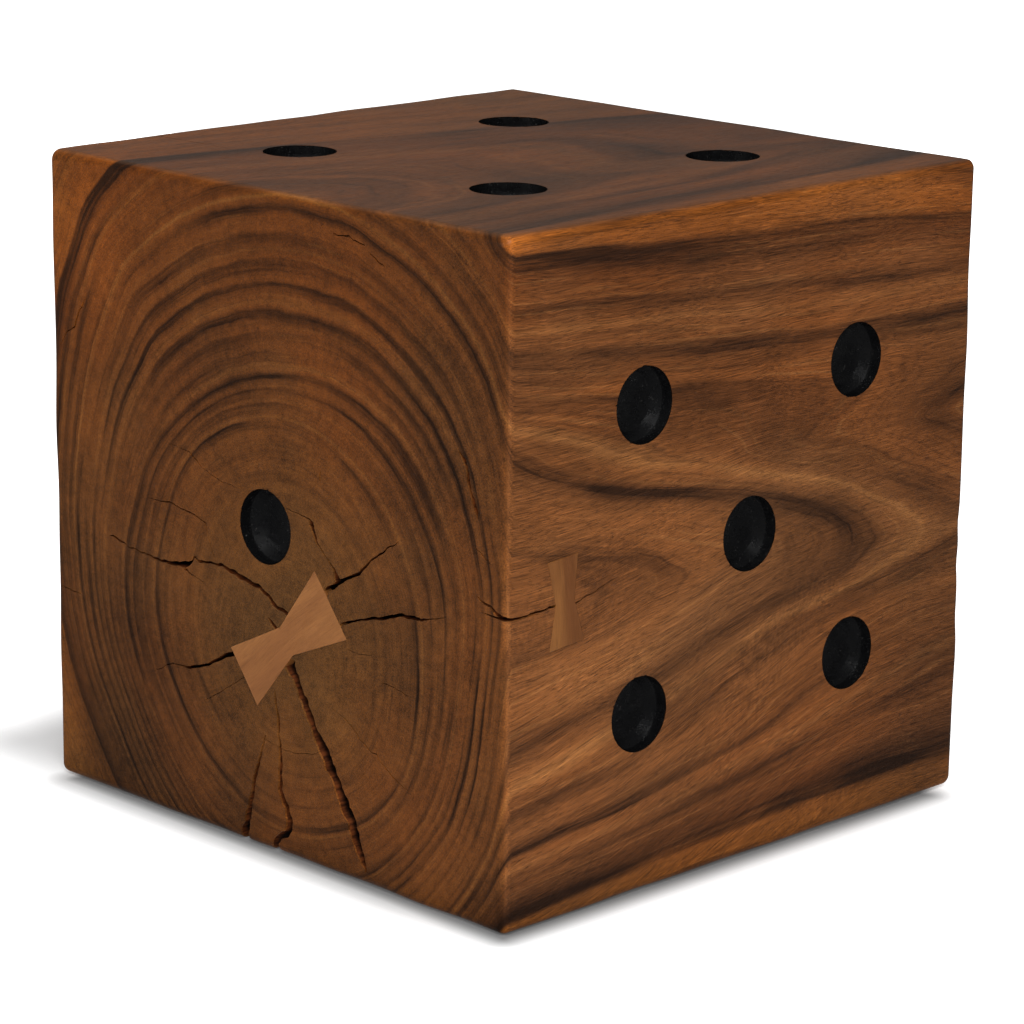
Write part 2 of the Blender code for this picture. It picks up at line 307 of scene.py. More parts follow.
def crackCutter(face, number, route):
    # sections along the route, each a ring of wall points: half width * (1 - depth share)^narrows
    # to each side of a floor that wanders, with each wall ragged on its own
    shape = crackShape
    seed = 100 * list(faces).index(face) + number
    right, up, width = np.array(route, float).T * mm
    if face not in ("three", "four"):
        up = up - boxSize[2] / 2
    along = np.concatenate([[0], np.cumsum(np.hypot(np.diff(right), np.diff(up)))])
    count = max(int(along[-1] / shape["step"]), 6)
    stations = np.linspace(0, along[-1], count)
    right, up, width = (np.interp(stations, along, row) for row in (right, up, width))
    heading = np.stack([np.gradient(right), np.gradient(up)], axis=-1)
    heading /= np.linalg.norm(heading, axis=1)[:, None]
    aside = np.stack([-heading[:, 1], heading[:, 0]], axis=-1)
    stray = ripple(stations, 9 * mm, seed) + 0.4 * ripple(stations, 3.5 * mm, seed + 1)
    stray = shape["jitter"] * stray
    draw = np.random.default_rng(seed)
    depth = np.minimum(shape["depthPerWidth"] * width + shape["shallowest"], shape["deepest"])
    levels = np.array(shape["levels"])
    narrowed = np.maximum((1 - levels[:-1]) ** shape["narrows"], shape["leastShare"])
    shares = np.concatenate([[1.0], narrowed, [shape["floorShare"]]])
    walls = []
    for side in (1, -1):
        rough = 1 + shape["widthJitter"] * ripple(stations, 9 * mm, seed + 5 * side + 10)
        grit = shape["grit"] * draw.uniform(-1, 1, count)
        half = np.maximum(width / 2 * rough + grit * np.minimum(1, width / mm), shape["leastHalf"])
        walls.append(side * half[:, None] * shares)
    down = np.concatenate([[-shape["overrun"] * np.ones(count)], levels[:, None] * depth]).T
    wander = down * shape["lean"] * ripple(stations, 18 * mm, seed + 3)[:, None]
    offsets = np.concatenate([walls[0], walls[1][:, ::-1]], axis=1)
    offsets += np.concatenate([wander, wander[:, ::-1]], axis=1) + stray[:, None]
    down = np.concatenate([down, down[:, ::-1]], axis=1)
    across = right[:, None] + offsets * aside[:, :1]
    upward = up[:, None] + offsets * aside[:, 1:]
    return closedRings(onFace(face, across, upward, -down))


# pips: a black coat in a round hollow, slightly uneven like hand-brushed lacquer
pipShape = {
    "coat": 0.16 * mm,  # what shows of the coat's edge
    "gap": 0.3 * mm,  # between the CAD coat and the wood
    "backing": 0.9 * mm,  # how far its hidden back is below its floor
    "step": 0.03 * mm,  # how far its edge is below the wood
    "flange": 0.2 * mm,  # how far its back runs under the rim
    "clear": 0.6 * mm,  # from its floor to the hollow's
    "eye": 0.4 * mm,  # radius of the smallest ring
    "overrun": 2 * mm,  # how far the cutter stands out of the face
    "fillet": 8 * mm,
    "wall": 5 * mm,  # straight part of the hollow's side
    "floorPower": 4.2,  # how flat the floor is
    "roundPower": 2.1,  # how tightly the side turns into it
    "lip": 0.35 * mm,  # round-over of the coat's edge
    "uneven": 0.07 * mm,
    "brushMarks": (7 * mm, 2.5 * mm),  # wavelengths of the unevenness
    "sides": 96,
    "chips": 3,  # splinters lost around each rim
    "chipLong": (0.8, 2.2),  # half length and half width of a chip, in millimetres
    "chipWide": (0.35, 0.7),
}


def pipPlaces():
    # from the CAD boxes of the coats: name, face, middle on the face, radius and depth
    for name in sorted(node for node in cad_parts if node.startswith("pip_")):
        face = name.split("_")[1]
        out = faceAxes(face)[2]
        low, high = (np.array(corner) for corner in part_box(name))
        middle = (low + high) / 2
        middle = middle + out * (np.abs(out) @ (high - low)) / 2
        size = np.sort(high - low)
        yield name, face, middle, size[2] / 2 + pipShape["gap"], size[0] + pipShape["gap"]


def turnedRings(face, middle, radii, heights, sides):
    turn = np.linspace(0, 2 * np.pi, sides, endpoint=False)
    across, upward = radii[:, None] * np.cos(turn), radii[:, None] * np.sin(turn)
    return onFace(face, across, upward, heights[:, None] + 0 * across, middle)


def dishProfile(radius, depth):
    # straight down the wall, then (depth - wall) * (1 - (r / radius)^power)^(1 / round) to the floor
    wall = pipShape["wall"]
    share = np.concatenate([np.linspace(0, 1, 13) ** 2 * 0.12, np.linspace(0.12, 0.985, 20)[1:]])
    curve = (1 - (1 - share) ** pipShape["floorPower"]) ** (1 / pipShape["roundPower"])
    radii = np.concatenate([[radius] * 4, radius * (1 - share)])
    return radii, -np.concatenate([np.linspace(0, wall, 5)[:4], wall + (depth - wall) * curve])


def pipCoat(name, face, middle, radius, depth, seed):
    # rings turned about the pip's middle: the hidden back, the round lip, then the dish
    back, step = -depth - pipShape["backing"], pipShape["step"]
    lip = np.linspace(0, np.pi / 2, 4)
    lipRadii = radius + pipShape["lip"] * (1 - np.sin(lip)) - pipShape["coat"]
    lipHeights = -pipShape["lip"] * (1 - np.cos(lip))
    radii, heights = dishProfile(radius - pipShape["coat"], depth)
    outer = radius + pipShape["flange"]
    backRadii = np.array([pipShape["eye"], radius - pipShape["fillet"], radius, outer, outer])
    backHeights = np.array([back, back, -depth * 0.5, -depth * 0.3, 0])
    allRadii = np.concatenate([backRadii, lipRadii, radii])
    allHeights = np.concatenate([backHeights - step, lipHeights - step, heights])
    rings = turnedRings(face, middle, allRadii, allHeights, pipShape["sides"])
    points = rings.reshape(-1, 3)
    out = faceAxes(face)[2]
    front = (np.arange(len(allRadii)) >= len(backRadii) + len(lipRadii)).repeat(pipShape["sides"])
    long, short = pipShape["brushMarks"]
    brushed = wobble(points, long, seed) + 0.5 * wobble(points, short, seed + 50)
    onPlane = points - np.outer((points - middle) @ out, out)
    lift = faceWaveAt(onPlane) + front * pipShape["uneven"] * brushed
    rings = (points + lift[:, None] * out).reshape(rings.shape)
    coat = addPiece("coat_" + name[4:], *closedRings(rings))
    shadeByAngle(coat)
    return coat


def pipHollow(face, middle, radius, depth):
    # a wall, a quarter circle and a flat floor, behind the whole of the coat
    fillet, deep = pipShape["fillet"], depth + pipShape["clear"]
    turn = np.linspace(0, np.pi / 2, 7)
    radii = np.concatenate([[radius], radius - fillet * (1 - np.cos(turn)), [pipShape["eye"]]])
    down = fillet - deep - fillet * np.sin(turn)
    heights = np.concatenate([[pipShape["overrun"]], down, [-deep]])
    return closedRings(turnedRings(face, middle, radii, heights, pipShape["sides"]))


def rimChips(face, middle, radius, seed):
    # flattened lumps on the arris, long along the grain: a sphere scaled on three axes
    draw = np.random.default_rng(seed)
    grain = np.array([0, 1.0, 0]) if face not in ("one", "six") else np.array([1.0, 0, 0])
    out = faceAxes(face)[2]
    aside = np.cross(out, grain)
    tilt = np.linspace(0.15, np.pi - 0.15, 7)
    lap = np.linspace(0, 2 * np.pi, 10, endpoint=False)
    ball = [np.outer(np.cos(tilt), 1 + 0 * lap), np.outer(np.sin(tilt), np.cos(lap)),
            np.outer(np.sin(tilt), np.sin(lap))]
    for _ in range(pipShape["chips"]):
        turn = draw.uniform(0, 2 * np.pi)
        centre = onFace(face, radius * math.cos(turn), radius * math.sin(turn), 0.0, middle)
        long = draw.uniform(*pipShape["chipLong"]) * mm
        wide = draw.uniform(*pipShape["chipWide"]) * mm
        sizes = (long * grain, wide * aside, wide * 0.8 * out)
        yield closedRings(centre + sum(part[..., None] * size for part, size in zip(ball, sizes)))


# keys: flush bow ties, from the outline of their CAD solids
keyShape = {
    "end_key": {"face": "one", "shoulder": 0.30 * mm, "proud": 0.05 * mm},
    "side_key": {"face": "five", "shoulder": 0.25 * mm, "proud": 0.03 * mm},
    "glueLine": 0.13 * mm,
    "deep": 6 * mm,
    "clear": 0.3 * mm,  # from its underside to the pocket's floor
    "overrun": 2 * mm,  # how far the pocket's cutter stands out of the face
    "uneven": 0.04 * mm,
    "rings": 14,  # across its top
    "innermost": 0.04,  # size of the smallest ring
    "samples": 40,  # along each of the six sides
}


def keyOutline(name):
    # the solid's corners on the face, in order round their middle, as (right, up) of the face
    face = keyShape[name]["face"]
    right, up, out = faceAxes(face)
    points = np.array([vertex.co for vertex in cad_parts[name].data.vertices], float) - boxMiddle
    onTop = points[points @ out > (points @ out).max() - 0.1 * mm]
    flat = np.unique(np.round(np.stack([onTop @ right, onTop @ up], axis=-1), 5), axis=0)
    middle = flat.mean(axis=0)
    around = np.arctan2(flat[:, 1] - middle[1], flat[:, 0] - middle[0])
    return flat[np.argsort(around)], middle


def softened(outline, samples):
    # points along each side, denser at its ends, and averaged twice with their neighbours
    share = (1 - np.cos(np.linspace(0, np.pi, samples, endpoint=False))) / 2
    after = np.roll(outline, -1, axis=0)
    line = (outline[:, None] + share[:, None] * (after - outline)[:, None]).reshape(-1, 2)
    for _ in range(2):
        line = (np.roll(line, 1, axis=0) + 2 * line + np.roll(line, -1, axis=0)) / 4
    return line


def grown(outline, distance):
    # moves each side out by the distance and meets them at mitres
    before = outline - np.roll(outline, 1, axis=0)
    after = np.roll(outline, -1, axis=0) - outline
    normals = [np.stack([side[:, 1], -side[:, 0]], axis=-1) / np.linalg.norm(side, axis=1)[:, None]
               for side in (before, after)]
    mitre = normals[0] + normals[1]
    return outline + distance * 2 * mitre / (mitre ** 2).sum(axis=1)[:, None]


def keyBody(name):
    # nested copies of the outline about its middle, rolled over a round shoulder and down the wall
    look, rings, least = keyShape[name], keyShape["rings"], keyShape["innermost"]
    outline, middle = keyOutline(name)
    line = softened(outline, keyShape["samples"])
    line = line + keyShape["uneven"] * wobble(np.c_[line, 0 * line[:, 0]], 9 * mm, seed=3)[:, None]
    roll = np.linspace(0, np.pi / 2, 5)
    shrink = look["shoulder"] * (1 - np.sin(roll))
    spread = np.abs(line - middle).max()
    shares = np.concatenate([np.linspace(least, 1 - least, rings), 1 - shrink / spread, [1, least]])
    shoulder = -look["shoulder"] * (1 - np.cos(roll))
    heights = np.concatenate([np.zeros(rings), shoulder, [-keyShape["deep"]] * 2])
    flat = middle + shares[:, None, None] * (line - middle)
    surface = onFace(look["face"], flat[..., 0], flat[..., 1], 0.0)
    lift = faceWaveAt(surface) + look["proud"] + heights[:, None]
    out = faceAxes(look["face"])[2]
    key = addPiece(name + "_wood", *closedRings(surface + lift[..., None] * out))
    shadeByAngle(key)
    return key


def keyPocket(name):
    # the outline grown by the glue line, from above the face to just below the key
    outline, _ = keyOutline(name)
    line = softened(grown(outline, keyShape["glueLine"]), 12)
    heights = np.array([keyShape["overrun"], -keyShape["deep"] - keyShape["clear"]])[:, None]
    flat = line + 0 * heights[..., None]
    return closedRings(onFace(keyShape[name]["face"], flat[..., 0], flat[..., 1], heights))


def joined(parts):
    points, allFaces, count = [], [], 0
    for some, someFaces in parts:
        points.append(some)
        allFaces += [[index + count for index in face] for face in someFaces]
        count += len(some)
    return np.concatenate(points), allFaces


def carve(piece, cutters):
    # cutters whose boxes are clear of each other share one cut
    groups = []
    for cutter in cutters:
        low, high = cutter[0].min(axis=0), cutter[0].max(axis=0)
        for group in groups:
            if all((low > other[1]).any() or (high < other[0]).any() for _, other in group):
                break
        else:
            group = []
            groups.append(group)
        group.append((cutter, (low, high)))
    tools = [addPiece("cutter", *joined([cutter for cutter, _ in group])) for group in groups]
    for tool in tools:
        boolean = piece.modifiers.new("cut", "BOOLEAN")
        boolean.operation = "DIFFERENCE"
        boolean.solver = "MANIFOLD"
        boolean.object = tool
    graph = bpy.context.evaluated_depsgraph_get()
    carved = bpy.data.meshes.new_from_object(piece.evaluated_get(graph))
    piece.modifiers.clear()
    piece.data = carved
    carved.name = piece.name
    for tool in tools:
        bpy.data.objects.remove(tool, do_unlink=True)
    print("carved in", len(groups), "cuts")


# small steps that every material here is made of
def srgb(red, green, blue):
    # screen values 0-255 to linear light
    values = np.array([red, green, blue]) / 255
    linear = np.where(values < 0.04045, values / 12.92, ((values + 0.055) / 1.055) ** 2.4)
    return tuple(float(v) for v in linear)


def put(tree, socket, value):
    if isinstance(value, bpy.types.NodeSocket):
        tree.links.new(value, socket)
    elif value is not None:
        socket.default_value = value


def calc(tree, operation, *values):
    node = tree.nodes.new("ShaderNodeMath")
    node.operation = operation
    for socket, value in zip(node.inputs, values):
        put(tree, socket, value)
    return node.outputs[0]


def times(tree, first, second):
    return calc(tree, "MULTIPLY", first, second)


def swing(tree, value, amount, added=0.0):
    # (value - 0.5) * amount + added
    return calc(tree, "MULTIPLY_ADD", calc(tree, "SUBTRACT", value, 0.5), amount, added)


def vectorCalc(tree, operation, *values, output=0):
    node = tree.nodes.new("ShaderNodeVectorMath")
    node.operation = operation
    for socket, value in zip(node.inputs, values):
        put(tree, socket, value)
    return node.outputs[output]


def stretched(tree, vector, size):
    return vectorCalc(tree, "MULTIPLY", vector, size if isinstance(size, tuple) else (size,) * 3)


def axesOf(tree, vector):
    node = tree.nodes.new("ShaderNodeSeparateXYZ")
    put(tree, node.inputs[0], vector)
    return node.outputs


def vectorOf(tree, *values):
    node = tree.nodes.new("ShaderNodeCombineXYZ")
    for socket, value in zip(node.inputs, values):
        put(tree, socket, value)
    return node.outputs[0]


def rangeTo(tree, value, fromLow, fromHigh, toLow=0.0, toHigh=1.0):
    # a smooth step from one value to another
    node = tree.nodes.new("ShaderNodeMapRange")
    node.interpolation_type = "SMOOTHSTEP"
    for name, given in (("Value", value), ("From Min", fromLow), ("From Max", fromHigh),
                        ("To Min", toLow), ("To Max", toHigh)):
        put(tree, node.inputs[name], given)
    return node.outputs[0]


def noise(tree, vector, size, detail=2.0, roughness=0.5, extra=None, output=0):
    # size says how finely it varies, for all axes or for each; extra is a fourth axis
    node = tree.nodes.new("ShaderNodeTexNoise")
    if extra is not None:
        node.noise_dimensions = "4D"
        put(tree, node.inputs["W"], extra)
    put(tree, node.inputs["Vector"], stretched(tree, vector, size))
    node.inputs["Scale"].default_value = 1.0
    node.inputs["Detail"].default_value = detail
    node.inputs["Roughness"].default_value = roughness
    return node.outputs[output]


def bentBy(tree, vector, size, reach, detail):
    # vector + (noise colour - 0.5) * reach
    away = noise(tree, vector, size, detail, output=1)
    away = vectorCalc(tree, "SUBTRACT", away, (0.5, 0.5, 0.5))
    return vectorCalc(tree, "MULTIPLY_ADD", away, reach, vector)


def ramp(tree, value, stops):
    # stops are (place, colour or grey value)
    node = tree.nodes.new("ShaderNodeValToRGB")
    elements = node.color_ramp.elements
    while len(elements) < len(stops):
        elements.new(0.5)
    for element, (position, colour) in zip(elements, sorted(stops, key=lambda stop: stop[0])):
        colour = (colour,) * 3 if isinstance(colour, (int, float)) else colour
        element.position = position
        element.color = (*colour, 1)
    put(tree, node.inputs[0], value)
    return node.outputs[0]


def mixColour(tree, share, first, second):
    node = tree.nodes.new("ShaderNodeMix")
    node.data_type = "RGBA"
    put(tree, node.inputs[0], share)
    for socket, value in zip((node.inputs[6], node.inputs[7]), (first, second)):
        put(tree, socket, (*value, 1) if isinstance(value, tuple) else value)
    return node.outputs[2]


def mixValue(tree, share, first, second):
    node = tree.nodes.new("ShaderNodeMix")
    for socket, value in zip((node.inputs[0], node.inputs[2], node.inputs[3]), (share, first, second)):
        put(tree, socket, value)
    return node.outputs[0]


def curveOf(tree, value, heights):
    # a smooth curve through evenly spaced heights, over 0..1
    node = tree.nodes.new("ShaderNodeFloatCurve")
    curve = node.mapping.curves[0]
    while len(curve.points) < len(heights):
        curve.points.new(0.5, 0.5)
    for point, position, height in zip(curve.points, np.linspace(0, 1, len(heights)), heights):
        point.location = (position, height)
    node.mapping.update()
    put(tree, node.inputs["Value"], value)
    return node.outputs[0]


def brighten(tree, colour, amount):
    # amount 1 leaves the colour as it is
    return vectorCalc(tree, "MULTIPLY", colour, vectorOf(tree, amount, amount, amount))


def addBump(tree, shader, height, distance):
    node = tree.nodes.new("ShaderNodeBump")
    node.inputs["Strength"].default_value = 1.0
    node.inputs["Distance"].default_value = distance
    put(tree, node.inputs["Height"], height)
    put(tree, shader.inputs["Normal"], node.outputs[0])


def newGroup(name, outputs):
    # outputs are {name: socket kind}; returns the tree, the vector it gets and the node it ends in
    tree = bpy.data.node_groups.new(name, "ShaderNodeTree")
    tree.interface.new_socket("Vector", in_out="INPUT", socket_type="NodeSocketVector")
    for socket, kind in outputs.items():
        tree.interface.new_socket(socket, in_out="OUTPUT", socket_type="NodeSocket" + kind)
    start = tree.nodes.new("NodeGroupInput")
    return tree, start.outputs["Vector"], tree.nodes.new("NodeGroupOutput")


def useGroup(tree, name, vector):
    node = tree.nodes.new("ShaderNodeGroup")
    node.node_tree = bpy.data.node_groups[name]
    put(tree, node.inputs["Vector"], vector)
    return node.outputs


def newMaterial(name):
    material = bpy.data.materials.new(name)
    material.use_nodes = True
    tree = material.node_tree
    return material, tree, tree.nodes["Principled BSDF"], tree.nodes.new("ShaderNodeTexCoord")


# how the log grew, in millimetres: the radius of three of its rings in even directions, from
# straight down, clockwise as seen on face one, and back to straight down
growth = {
    "pith": (20.5, 130),
    "pithDrift": (-8, -20),  # from face one to face six
    "taper": 0.055,
    "noTaperToward": (0.53, 0, 0.85),
    "noTaper": (0.985, 0.92, -0.015),  # where that begins and ends, and the taper there
    "spread": 400,
    "heart": (115, [112, 113, 115, 124, 129, 138, 139, 131, 119, 112, 114, 113, 112]),
    "middle": (145, [143, 144, 144, 155, 158, 162, 170, 174, 162, 143, 141, 142, 143]),
    "sapwood": (215, [200, 202, 205, 208, 212, 218, 226, 243, 262, 291, 316, 326, 330,
                      330, 327, 300, 262, 238, 218, 220, 224, 221, 214, 206, 200]),
    "wave": (6.0, (8, 3.0, 8)),  # millimetres each way, and how finely it varies
    "kinks": (1.3, (22, 5, 22)),
    "fineWave": (0.45, (85, 14, 85)),
}


def ringAgeGroup():
    # age of the wood, in millimetres of growth: share of the way between the three rings in this
    # direction, plus a taper along the log and noise that makes each ring wave
    tree, vector, end = newGroup("ringAge", {"Age": "Float", "Heading": "Vector"})
    wave, waveSize = growth["wave"]
    axes = axesOf(tree, bentBy(tree, vector, waveSize, (wave * 2 * mm,) * 3, 0.5))
    along = calc(tree, "SUBTRACT", axes[1], float(boxLow[1]))
    along = calc(tree, "DIVIDE", along, float(boxSize[1]))
    away = []
    for axis, pith, drift in zip((0, 2), growth["pith"], growth["pithDrift"]):
        middle = calc(tree, "MULTIPLY_ADD", along, drift * mm, pith * mm)
        away.append(calc(tree, "SUBTRACT", axes[axis], middle))
    flat = vectorOf(tree, away[0], 0.0, away[1])
    radius = vectorCalc(tree, "LENGTH", flat, output=1)
    radius = times(tree, radius, 1 / (growth["spread"] * mm))
    around = calc(tree, "MULTIPLY_ADD", calc(tree, "ARCTAN2", *away), 0.5 / math.pi, 0.5)
    age, last, lastAge = 0.0, 0.0, 0.0
    for ring in ("heart", "middle", "sapwood"):
        ringAge, radii = growth[ring]
        here = curveOf(tree, around, [r / growth["spread"] for r in radii])
        between = calc(tree, "SUBTRACT", here, last)
        share = calc(tree, "DIVIDE", calc(tree, "SUBTRACT", radius, last), between)
        share = calc(tree, "MAXIMUM", share, 0.0)
        if ring != "sapwood":
            share = calc(tree, "MINIMUM", share, 1.0)
        age = calc(tree, "MULTIPLY_ADD", share, float(ringAge - lastAge), age)
        last, lastAge = here, ringAge
    heading = vectorCalc(tree, "NORMALIZE", flat)
    straight = vectorCalc(tree, "DOT_PRODUCT", heading, growth["noTaperToward"], output=1)
    taper = times(tree, along, rangeTo(tree, straight, *growth["noTaper"], growth["taper"]))
    age = times(tree, age, calc(tree, "ADD", taper, 1.0))
    for amount, size in (growth["kinks"], growth["fineWave"]):
        age = swing(tree, noise(tree, vector, size, 1.0), amount * 2, age)
    put(tree, end.inputs["Age"], age)
    put(tree, end.inputs["Heading"], heading)


# rings of the log by age: (age, how far it fades in and out, how dark or light it is)
ringLook = {
    "oldest": 245,
    "dark": [
        (79, 7, 2, 0.16), (89, 5, 3, 0.24), (101, 3, 1, 0.16), (115.5, 5, 1.0, 0.72),
        (126, 6, 2, 0.34), (136, 7, 1.6, 0.55), (145.2, 6, 0.7, 0.88), (151, 3, 1.6, 0.40),
        (156, 4, 1.2, 0.62), (161.5, 4, 0.8, 0.80),
    ],
    "outerDark": [
        (168.5, 3, 0.9, 0.72), (174, 3.5, 1.2, 0.50), (180.5, 4, 1.2, 0.52), (188, 2.8, 0.8, 0.92),
        (194, 3, 1.2, 0.55), (200, 4, 1, 0.58), (206, 3, 1, 0.52), (214.2, 7, 0.9, 0.90),
        (223, 4, 1, 0.22), (232, 4, 1, 0.22),
    ],
    "light": [
        (62, 1, 1, 0.30), (83, 0.8, 0.8, 0.25), (104, 0.8, 0.8, 0.35), (118.4, 1.1, 1.1, 0.70),
        (129, 0.8, 0.8, 0.3), (147.6, 1.2, 1.2, 0.55), (164, 1.1, 1.1, 0.45), (177, 0.9, 0.9, 0.3),
        (190.2, 0.8, 0.9, 1.0), (203, 1, 1, 0.4),
    ],
    "base": [
        (0, (112, 74, 38)), (40, (120, 77, 37)), (75, (122, 75, 34)), (100, (120, 71, 31)),
        (125, (116, 68, 30)), (150, (117, 68, 30)), (175, (119, 72, 34)), (200, (112, 66, 29)),
        (212, (78, 42, 15)), (216, (124, 71, 24)), (226, (138, 81, 30)), (245, (150, 93, 40)),
    ],
    # rings that show more: direction from the pith, from what age to what age, how much, and
    # past what place along the log
    "bold": [
        ((0.30, 0, 0.95), 160, 200, 0.6, -0.30), ((0.97, 0, 0.25), 182, 193, 0.75, -0.17),
        ((0.62, 0, 0.78), 196, 213, 0.6, -0.17), ((-0.8, 0, 0.6), 112, 148, 0.6, -0.30),
    ],
    "darkColour": (32, 17, 8),
    "lightColour": (150, 98, 50),
    "orangeColour": (128, 64, 10),
    "greyColour": (88, 60, 36),
    "patches": (0.37, 0.60, 0.22, 1.25),  # noise from and to, and how much the rings show there
    "strongest": 1.2,
    "boldHeading": (0.72, 0.93),  # cosines at which a bold ring begins and is full
    "boldFade": 4.0,  # millimetres of growth
    "redder": (0.20, 0.36, 0.0, 0.8),  # heights from and to, and how much
    "growthLines": (50.0, 190.0, 0.08, 0.34),  # ages from and to, and how dark
    "orangeShare": 0.55,
    "darkShare": 0.92,
    "lightShare": 0.75,
    "lineFineness": 0.42,  # per millimetre of growth
    "sharpFineness": 1.1,
    "contourFineness": 2.6,
    "patchFineness": 0.055,
    "rayFineness": 0.06,
}


def ringStops(rings):
    # a saw tooth for each ring: it fades in slowly and ends sharply
    stops = []
    for age, fadeIn, fadeOut, strength in rings:
        for edge, value in ((age - fadeIn, 0.0), (age, strength), (age + fadeOut, 0.0)):
            stops.append((edge / ringLook["oldest"], value))
    return stops


def logFigureGroup():
    # the log's colour: base by age, dark rings that come and go, light lines, and fine growth lines
    tree, vector, end = newGroup("logFigure", {"Color": "Color", "Line": "Float", "Ray": "Float"})
    growing = useGroup(tree, "ringAge", vector)
    age, heading = growing["Age"], growing["Heading"]
    axes = axesOf(tree, vector)
    share = times(tree, age, 1 / ringLook["oldest"])
    base = ramp(tree, share, [(a / ringLook["oldest"], srgb(*c)) for a, c in ringLook["base"]])
    inner, outer, pale = (ramp(tree, share, ringStops(ringLook[rings]))
                          for rings in ("dark", "outerDark", "light"))
    # a place in the growth: heading from the pith, distance along the log, and age
    spot = vectorCalc(tree, "MULTIPLY_ADD", heading, (1.6, 1.6, 1.6),
                      stretched(tree, vector, (0, 4.5, 0)))

    def growthNoise(where, size, fineness, detail=2.0, roughness=0.5):
        return noise(tree, where, size, detail, roughness, extra=times(tree, age, ringLook[fineness]))

    lines = growthNoise(spot, 1.0, "lineFineness", 4.0, 0.62)
    sharp = growthNoise(spot, 2.0, "sharpFineness", 2.0, 0.6)
    contour = growthNoise(spot, 1.5, "contourFineness", 2.0, 0.6)
    # how strongly each ring shows, round and along the log
    patch = rangeTo(tree, growthNoise(spot, 1.0, "patchFineness"), *ringLook["patches"])
    fade = ringLook["boldFade"]
    for toward, low, high, boost, past in ringLook["bold"]:
        near = vectorCalc(tree, "DOT_PRODUCT", heading, toward, output=1)
        more = rangeTo(tree, near, *ringLook["boldHeading"], 0.0, boost)
        more = times(tree, more, rangeTo(tree, age, low - fade, low + fade))
        more = times(tree, more, rangeTo(tree, age, high + fade, high - fade))
        more = times(tree, more, rangeTo(tree, axes[1], past - 0.02, past + 0.08))
        patch = calc(tree, "ADD", patch, more)
    patch = calc(tree, "MINIMUM", patch, ringLook["strongest"])
    dark = times(tree, calc(tree, "MAXIMUM", inner, outer), patch)
    dark = times(tree, dark, rangeTo(tree, lines, 0.25, 0.70, 0.55, 1.35))
    growthLine = rangeTo(tree, lines, 0.53, 0.68)
    strength = rangeTo(tree, age, *ringLook["growthLines"])
    dark = calc(tree, "ADD", dark, times(tree, growthLine, strength))
    dark = calc(tree, "ADD", dark, rangeTo(tree, contour, 0.56, 0.68, 0.0, 0.26))
    dark = calc(tree, "MINIMUM", dark, 1.0)
    # hue drifts between a greyer and a more orange brown, and the log is redder near its top
    hue = noise(tree, vector, (9, 4, 9), 3.0)
    high = rangeTo(tree, axes[2], *ringLook["redder"])
    orange = calc(tree, "ADD", rangeTo(tree, hue, 0.40, 0.70, 0.0, 0.5), high)
    orange = times(tree, orange, ringLook["orangeShare"])
    hued = mixColour(tree, orange, base, srgb(*ringLook["orangeColour"]))
    greyed = calc(tree, "ADD", rangeTo(tree, hue, 0.50, 0.32, 0.0, 0.28), times(tree, patch, 0.10))
    hued = mixColour(tree, greyed, hued, srgb(*ringLook["greyColour"]))
    pale = times(tree, times(tree, pale, ringLook["lightShare"]), rangeTo(tree, sharp, 0.35, 0.60, 0.3))
    pale = calc(tree, "MAXIMUM", pale, rangeTo(tree, sharp, 0.60, 0.74, 0.0, 0.28))
    pale = calc(tree, "MAXIMUM", pale, rangeTo(tree, contour, 0.42, 0.31, 0.0, 0.30))
    coloured = mixColour(tree, pale, hued, srgb(*ringLook["lightColour"]))
    dark = times(tree, dark, ringLook["darkShare"])
    coloured = mixColour(tree, dark, coloured, srgb(*ringLook["darkColour"]))
    put(tree, end.inputs["Color"], coloured)
    put(tree, end.inputs["Line"], lines)
    put(tree, end.inputs["Ray"], growthNoise(heading, 55, "rayFineness"))


# how finely each mark of the grain varies across and along it, in turns per metre
grainSize = {
    "bend": (16, 11, 16),
    "fibre": (1900, 60, 1900),
    "streak": (240, 8, 240),
    "pore": (2300, 150, 2300),
    "poreCrowd": (70, 12, 70),
    "hair": (1900, 34, 1900),
    "curl": (240, 420, 240),
    "curlArea": (9, 7, 9),
}


def grainGroup():
    # fibres, streaks and open pores, long along the grain (Y of the vector) and fine across it
    outputs = {name: "Float" for name in ("Fibre", "Streak", "Hair", "Pore", "Curl")}
    tree, vector, end = newGroup("grainPores", outputs)
    bent = bentBy(tree, vector, grainSize["bend"], (0.012, 0.0, 0.012), 1.0)
    crowd = noise(tree, bent, grainSize["poreCrowd"], 1.0)
    pores = noise(tree, bent, grainSize["pore"], 0.0)
    pores = calc(tree, "ADD", pores, calc(tree, "MULTIPLY_ADD", crowd, 0.20, -0.10))
    area = rangeTo(tree, noise(tree, vector, grainSize["curlArea"], 1.0), 0.54, 0.72)
    curl = swing(tree, noise(tree, bent, grainSize["curl"], 1.0), area)
    put(tree, end.inputs["Fibre"], noise(tree, bent, grainSize["fibre"], 2.0, 0.6))
    put(tree, end.inputs["Streak"], noise(tree, bent, grainSize["streak"], 2.0, 0.55))
    put(tree, end.inputs["Hair"], noise(tree, bent, grainSize["hair"], 1.0))
    put(tree, end.inputs["Pore"], rangeTo(tree, pores, 0.62, 0.74))
    put(tree, end.inputs["Curl"], curl)


